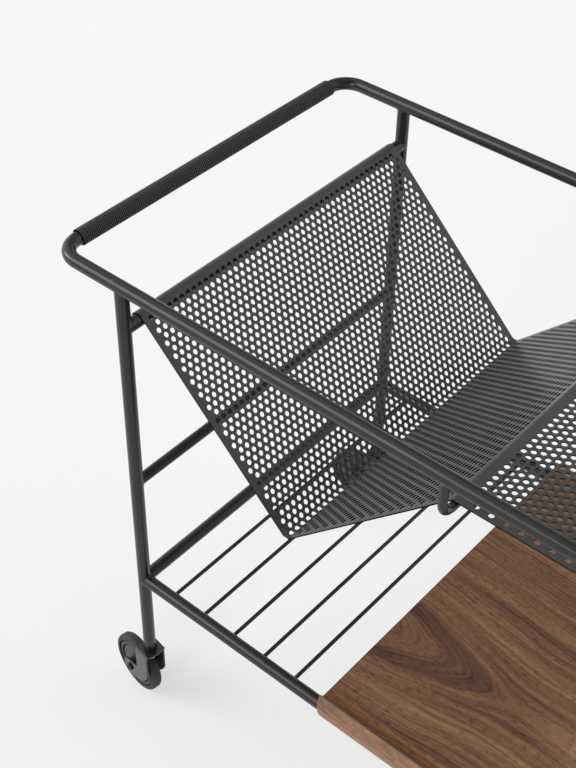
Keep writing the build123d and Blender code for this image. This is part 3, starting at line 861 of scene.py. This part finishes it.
# %% Welds of the frame
TUBE_R, MID_BAR_R = 8.0 * MM, 6.75 * MM
RAIL_FLARE, BAR_FLARE, LOW_FLARE = 2.6 * MM, 1.8 * MM, 2.2 * MM


def middle_of(cad_name):
    low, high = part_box(cad_name)
    return (low + high) / 2


rail_z = middle_of("top_rail").z
low_z = middle_of("near_low_rail").z
along, upright, downwards = (1, 0, 0), (0, 0, 1), (0, 0, -1)
leg_places = [middle_of(f"{corner}_leg") for corner in corners]
rail_welds, bar_welds, low_welds = [], [], []
for leg in leg_places:
    inwards = (0, -1 if leg.y > 0 else 1, 0)
    towards_middle = (-1 if leg.x > 0 else 1, 0, 0)
    end = "left" if leg.x < 0 else "right"
    rail_welds.append(((leg.x, leg.y, rail_z), downwards, TUBE_R, along, TUBE_R, RAIL_FLARE))
    for bar, bar_r in (("tray_bar", TUBE_R), ("mid_bar", MID_BAR_R), ("low_bar", TUBE_R)):
        bar_height = middle_of(f"{end}_{bar}").z
        bar_welds.append(((leg.x, leg.y, bar_height), inwards, bar_r, upright, TUBE_R, BAR_FLARE))
    low_welds.append(((leg.x, leg.y, low_z), towards_middle, TUBE_R, upright, TUBE_R, LOW_FLARE))
weld_piece("rail_welds", rail_welds)
weld_piece("bar_welds", bar_welds)
weld_piece("low_rail_welds", low_welds)

# %% Welds of the wires and the support rod
WIRE_R, WIRES = 2.5 * MM, 5
ROD_R = 4.75 * MM
THIN_FLARE = 1.6 * MM
wires_low, wires_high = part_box("shelf_wires")
wire_xs = np.linspace(wires_low.x + WIRE_R, wires_high.x - WIRE_R, WIRES)
rod_x = middle_of("support_rod").x
side_ys = leg_places[0].y, leg_places[1].y
wire_welds = [
    ((x, y, low_z), (0, 1 if y < 0 else -1, 0), WIRE_R, along, TUBE_R, THIN_FLARE)
    for x in wire_xs
    for y in side_ys
]
rod_welds = [((rod_x, y, rail_z), downwards, ROD_R, along, TUBE_R, THIN_FLARE) for y in side_ys]
weld_piece("wire_welds", wire_welds)
weld_piece("rod_welds", rod_welds)

# %% [markdown]
# ## Studio
# The trolley stands on a pale sheet of paper. What the camera and the reflections see of the floor is
# partly its own shading, which keeps the shadows, and partly the plain tone of the paper.

# %% The paper of the floor
PAPER = "#FFFFFF"
PLAIN_SHARE = 0.5
TOOTH, TOOTH_DEPTH = 4 * MM, 0.4 * MM
# Matt paper gives an even white ground with soft shadows
paper, tree, shader, place = new_finish("studio_paper")
tooth = node(tree, "TexNoise", {"Vector": place, "Scale": 1 / TOOTH, "Detail": 3.0}).outputs["Fac"]
paper_tone = node(tree, "ValToRGB", {"Fac": tooth}, stops=[(0.25, "#EDEDED"), (0.75, "#F3F3F3")])
tooth_bump = node(tree, "Bump", {"Height": tooth, "Strength": 0.15, "Distance": TOOTH_DEPTH})
tree.links.new(paper_tone.outputs["Color"], shader.inputs["Base Color"])
tree.links.new(tooth_bump.outputs["Normal"], shader.inputs["Normal"])
shader.inputs["Roughness"].default_value = 0.95
shader.inputs["Specular IOR Level"].default_value = 0.1

rays = node(tree, "LightPath", {}).outputs
seen = node(tree, "Math", {0: rays["Is Camera Ray"], 1: rays["Is Glossy Ray"]}, operation="MAXIMUM")
seen = node(tree, "Math", {0: seen.outputs[0], 1: rays["Is Transmission Ray"]}, operation="MAXIMUM")
share = node(tree, "Math", {0: seen.outputs[0], 1: PLAIN_SHARE}, operation="MULTIPLY")
plain = node(tree, "Emission", {"Color": linear(PAPER), "Strength": 1.0})
both = node(tree, "MixShader", {0: share.outputs[0], 1: shader.outputs[0], 2: plain.outputs[0]})
tree.links.new(both.outputs[0], tree.nodes["Material Output"].inputs["Surface"])
print("finish:", paper.name)

# %% The floor
FLOOR_HALF = 12.0
floor_corners = [(x * FLOOR_HALF, y * FLOOR_HALF, 0) for x, y in ((-1, -1), (1, -1), (1, 1), (-1, 1))]
floor_mesh = bpy.data.meshes.new("studio_floor")
floor_mesh.from_pydata(floor_corners, [], [(0, 1, 2, 3)])
floor_mesh.materials.append(paper)
studio_floor = bpy.data.objects.new("studio_floor", floor_mesh)
bpy.context.scene.collection.objects.link(studio_floor)
print("floor:", 2 * FLOOR_HALF, "m wide")

# %% [markdown]
# The room is white low down all round and pale behind the trolley, which gives the flat faces their
# sheen. It is dark high up on the camera's side, which leaves the walls of the holes dark.

# %% The room
DARK_SIDE, LOW_WALL, BACK_WALL = 0.08, 0.96, 0.6
WALL_FROM, WALL_TO = sin(radians(6)), sin(radians(30))
BACK_FROM, BACK_TO = 0.35, 0.95
BEHIND_TURN, BEHIND_LIFT = radians(60), radians(40)


def direction_of(turn, lift):
    """A direction from its turn from +X towards +Y and its lift above the floor."""
    return Vector((cos(lift) * cos(turn), cos(lift) * sin(turn), sin(lift)))


world = bpy.data.worlds.new("studio")
world.use_nodes = True
bpy.context.scene.world = world
room = world.node_tree
looking = node(room, "TexCoord", {}).outputs["Generated"]
lift = node(room, "SeparateXYZ", {"Vector": looking}).outputs["Z"]
low = {"Value": lift, "From Min": WALL_FROM, "From Max": WALL_TO, "To Min": LOW_WALL, "To Max": DARK_SIDE}
low_wall = node(room, "MapRange", low).outputs["Result"]
towards_back = direction_of(BEHIND_TURN, BEHIND_LIFT)
behind = node(room, "VectorMath", {0: looking, 1: towards_back}, operation="DOT_PRODUCT").outputs["Value"]
far = {"Value": behind, "From Min": BACK_FROM, "From Max": BACK_TO, "To Min": DARK_SIDE, "To Max": BACK_WALL}
back_wall = node(room, "MapRange", far).outputs["Result"]
level = node(room, "Math", {0: low_wall, 1: back_wall}, operation="MAXIMUM")
room.links.new(level.outputs[0], room.nodes["Background"].inputs["Strength"])
room.nodes["Background"].inputs["Color"].default_value = linear(PAPER)
print("room: white low down, dark side at", DARK_SIDE)

# %% [markdown]
# A wide window light comes from the handle's end, and a smaller lamp draws the bright lines along the
# tubes. A low lamp from the same end glints on bends and corners, and two weaker ones come from the
# front and from behind. All are of Blender's sun kind, whose light is the same all over the trolley.
# The wider the sun, the softer its shadows.

# %% Lights
LAMP_AWAY = 3.0


def soft_light(name, azimuth, elevation, spread, strength):
    """A wide soft light far off in a direction given in degrees."""
    lamp = bpy.data.lights.new(name, "SUN")
    lamp.angle, lamp.energy = radians(spread), strength
    light = bpy.data.objects.new(name, lamp)
    towards = direction_of(radians(azimuth), radians(elevation))
    light.rotation_euler = towards.to_track_quat("Z", "Y").to_euler()
    light.location = towards * LAMP_AWAY
    bpy.context.scene.collection.objects.link(light)


soft_light("window_light", azimuth=190, elevation=40, spread=76, strength=1.05)
soft_light("line_light", azimuth=230, elevation=34, spread=36, strength=1.15)
soft_light("front_light", azimuth=-82, elevation=24, spread=20, strength=0.7)
soft_light("far_light", azimuth=45, elevation=30, spread=50, strength=0.3)
soft_light("edge_light", azimuth=202, elevation=20, spread=22, strength=0.8)
print("lights:", sorted(lamp.name for lamp in bpy.data.lights))

# %% [markdown]
# The camera's place, angles and focal length were found from the straight tubes in the photograph.

# %% Camera
CAMERA_PLACE = Vector((538.6, -1019.96, 1612.16)) * MM
AZIMUTH, ELEVATION, ROLL = radians(39.79), radians(41.94), radians(1.15)
IMAGE_HEIGHT, FOCAL_PIXELS, SENSOR = 768, 1416.41, 36.0
right = Vector((cos(AZIMUTH), sin(AZIMUTH), 0))
back = Vector((sin(AZIMUTH) * cos(ELEVATION), -cos(AZIMUTH) * cos(ELEVATION), sin(ELEVATION)))
upwards = back.cross(right)
rolled_right = right * cos(ROLL) + upwards * sin(ROLL)
rolled_up = upwards * cos(ROLL) - right * sin(ROLL)
turned_to = Matrix((rolled_right, rolled_up, back)).transposed().to_4x4()
lens = bpy.data.cameras.new("picture_camera")
lens.sensor_width = SENSOR
lens.lens = FOCAL_PIXELS / IMAGE_HEIGHT * SENSOR
camera = bpy.data.objects.new("picture_camera", lens)
camera.matrix_world = Matrix.Translation(CAMERA_PLACE) @ turned_to
bpy.context.scene.collection.objects.link(camera)
bpy.context.scene.camera = camera
bpy.context.scene.view_settings.view_transform = "Standard"
print("lens:", round(lens.lens, 2), "mm")
